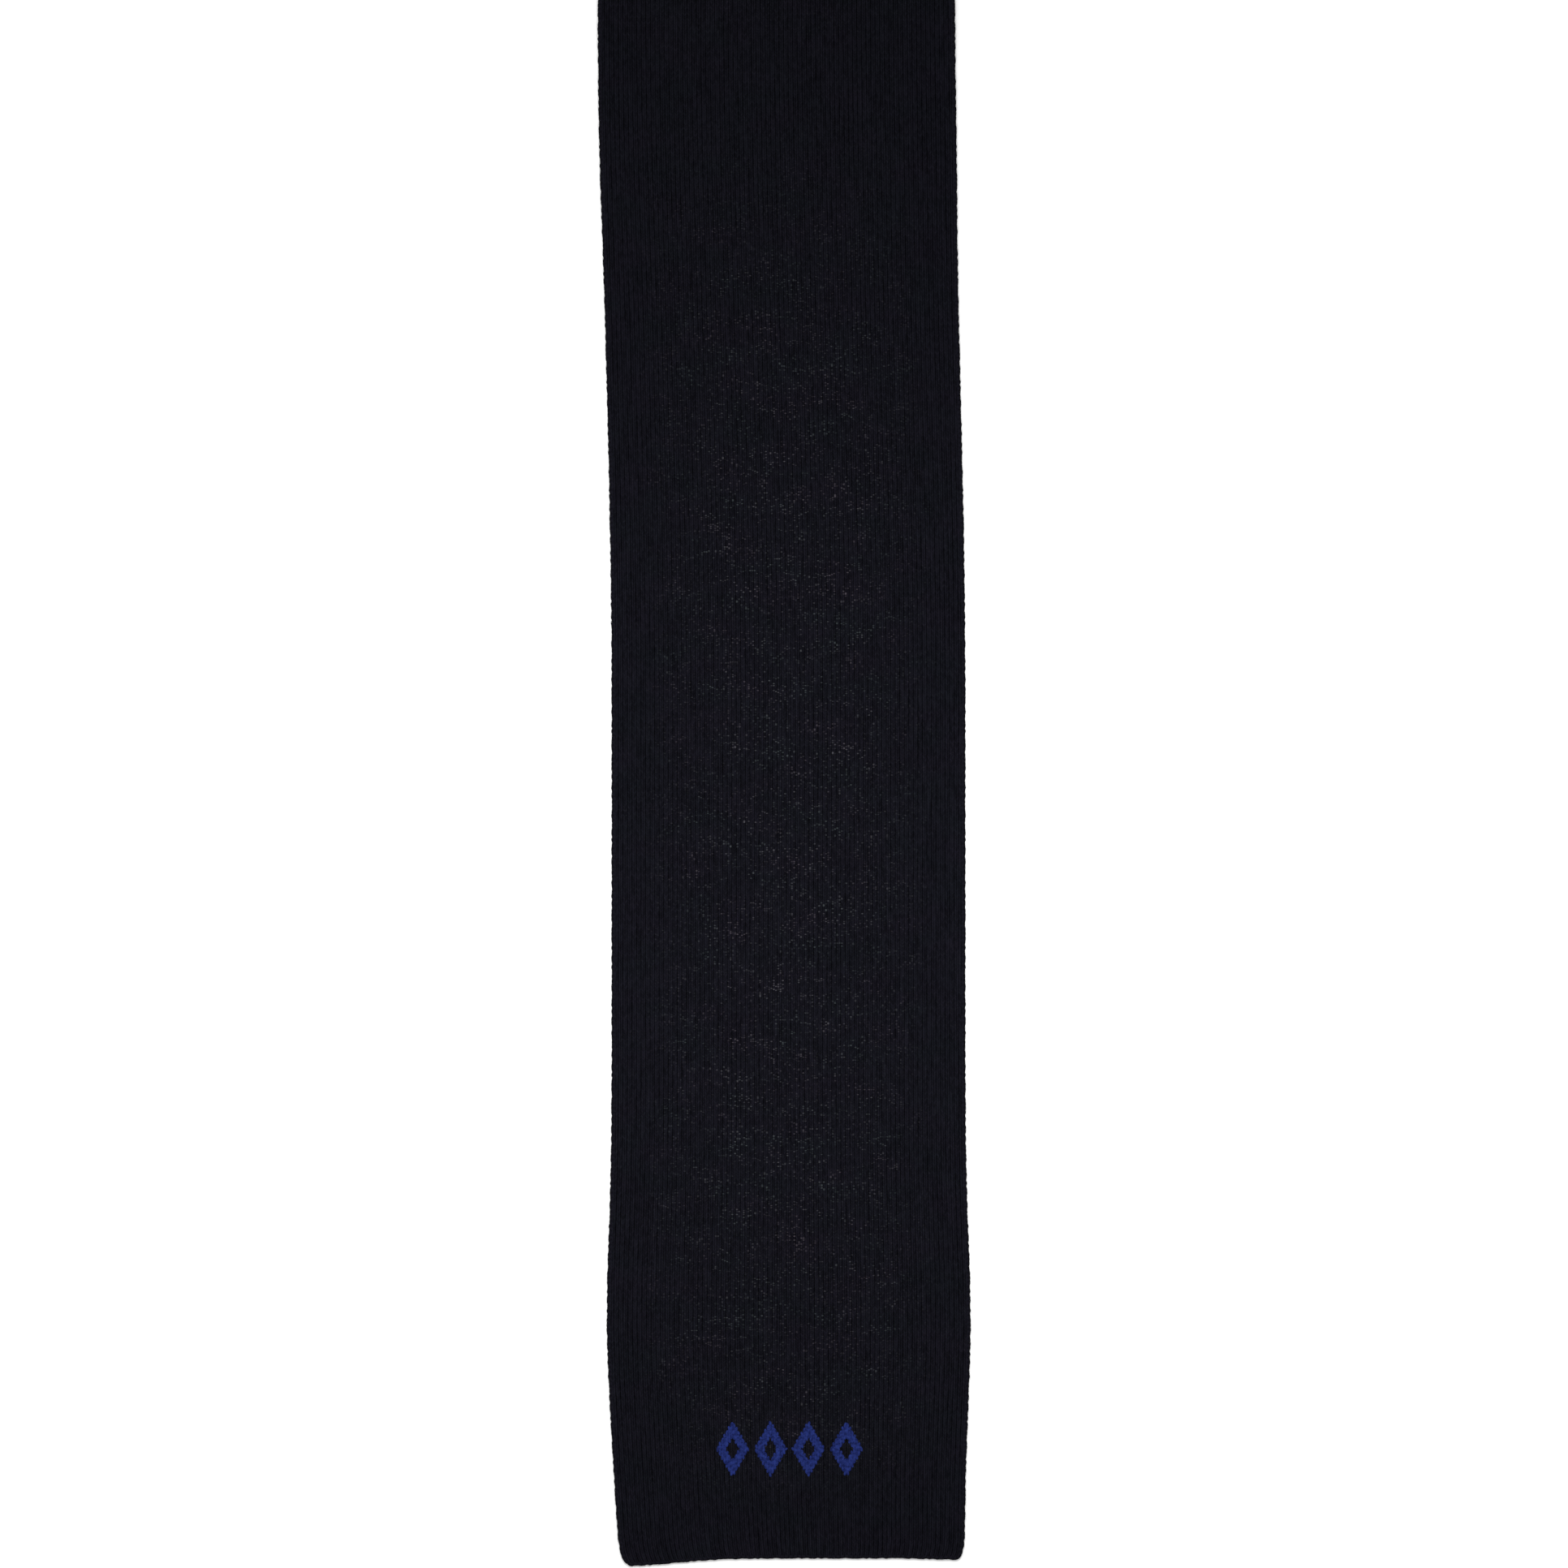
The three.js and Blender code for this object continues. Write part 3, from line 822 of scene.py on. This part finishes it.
def label_tape(name, material):
    """The tape: its middle line with a thickness, carried across its width in Y. Its two
    woven edges are a little thinner than its middle."""
    line = label_line()
    along = np.gradient(line, axis=0)
    along /= np.linalg.norm(along, axis=1, keepdims=True)
    normal = np.stack([along[:, 1], -along[:, 0]], axis=-1)
    width = np.linspace(label_low.y, label_high.y, 13)
    half = LABEL_SHEET / 2 * np.where(np.abs(np.linspace(-1, 1, 13)) > 0.99, 0.55, 1.0)
    shell = []
    for hand in (1, -1):
        plan = line[:, None, :] + hand * half[None, :, None] * normal[:, None, :]
        y = np.broadcast_to(width, plan.shape[:2])
        shell.append(np.stack([plan[..., 0], y, plan[..., 1]], axis=-1))
    rows, columns = len(line), len(width)
    upper = np.arange(rows * columns).reshape(rows, columns)
    lower = upper + rows * columns
    rim_upper = np.concatenate(
        [upper[0], upper[1:, -1], upper[-1, -2::-1], upper[-2:0:-1, 0]]
    )
    rim_lower = rim_upper + rows * columns
    faces = [
        np.stack([upper[:-1, :-1], upper[:-1, 1:], upper[1:, 1:], upper[1:, :-1]], axis=-1),
        np.stack([lower[:-1, :-1], lower[1:, :-1], lower[1:, 1:], lower[:-1, 1:]], axis=-1),
        np.stack(
            [rim_upper, rim_lower, np.roll(rim_lower, -1), np.roll(rim_upper, -1)], axis=-1
        ),
    ]
    quads = np.concatenate([face.reshape(-1, 4) for face in faces])
    points = np.concatenate([part.reshape(-1, 3) for part in shell])
    return new_mesh(name, points, quads.tolist(), material)


def satin_tape(name, shade, thread_shade):
    """Satin-woven tape: fine threads across it, seen as narrow waves along Y and X."""
    material, tree = new_material(name, Roughness=0.42, Specular_IOR_Level=0.4)
    x, y, _ = tree.split(tree.node("TexCoord", output=3))
    warp = (y * (2 * math.pi / 0.00045)).math("SINE")
    weft = (x * (2 * math.pi / 0.0006)).math("SINE")
    weave = warp * 0.35 + weft * 0.15 + 0.5
    feed(material, "Base Color", weave.mix(thread_shade, shade))
    bump = tree.node("Bump", None, {"Strength": 0.25, "Distance": 0.0001, "Height": weave})
    feed(material, "Normal", bump)
    return material


label_satin = satin_tape("label_satin", (0.62, 0.61, 0.57, 1.0), (0.50, 0.49, 0.46, 1.0))
label = label_tape("care_label_tape", label_satin)
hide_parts("care_label")
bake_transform(label)

# ---------------------------------------------------------------------------
# Label stitches. One sewing thread tacked in a close zigzag up and down the seam's outer
# side, through the label's root, which holds the label on.
TACK_STEPS = 10
TACK_SIDES = 6
TACK_PITCH = 0.0014
TACK_RADIUS = 0.00016
TACK_PROUD = 0.00028
TACK_WRAP = 0.00035
tack_low, tack_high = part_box("label_stitches")
tack_count = int((tack_high.y - tack_low.y) / TACK_PITCH)
turn = np.linspace(0.0, tack_count * 2 * np.pi, tack_count * TACK_STEPS)
tack_y = np.linspace(tack_low.y + TACK_RADIUS, tack_high.y - TACK_RADIUS, len(turn))
tack_middle = (tack_low.z + tack_high.z) / 2
tack_rise = (tack_high.z - tack_low.z) / 2 - TACK_RADIUS
tack_x = label_edge + TACK_PROUD - TACK_WRAP * np.abs(np.sin(turn)) ** 3
tack_z = tack_middle + tack_rise * np.sin(turn) + lift(tack_x, tack_y)
label_thread, thread_tree = new_material("label_thread", Roughness=0.6, Specular_IOR_Level=0.3)
twist = thread_tree.node("TexCoord", output=3)
twist = thread_tree.node("TexNoise", None, {"Vector": twist, "Scale": 3000.0})
thread_shade = twist.mix((0.012, 0.011, 0.015, 1.0), (0.030, 0.027, 0.036, 1.0))
feed(label_thread, "Base Color", thread_shade)
tack_line = np.stack([tack_x, tack_y, tack_z], axis=-1)
tack_points, tack_faces = round_tube(tack_line, TACK_RADIUS, TACK_SIDES)
tack = new_mesh("label_tack_thread", tack_points, tack_faces, label_thread)
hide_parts("label_stitches")
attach(tack, "far_half")
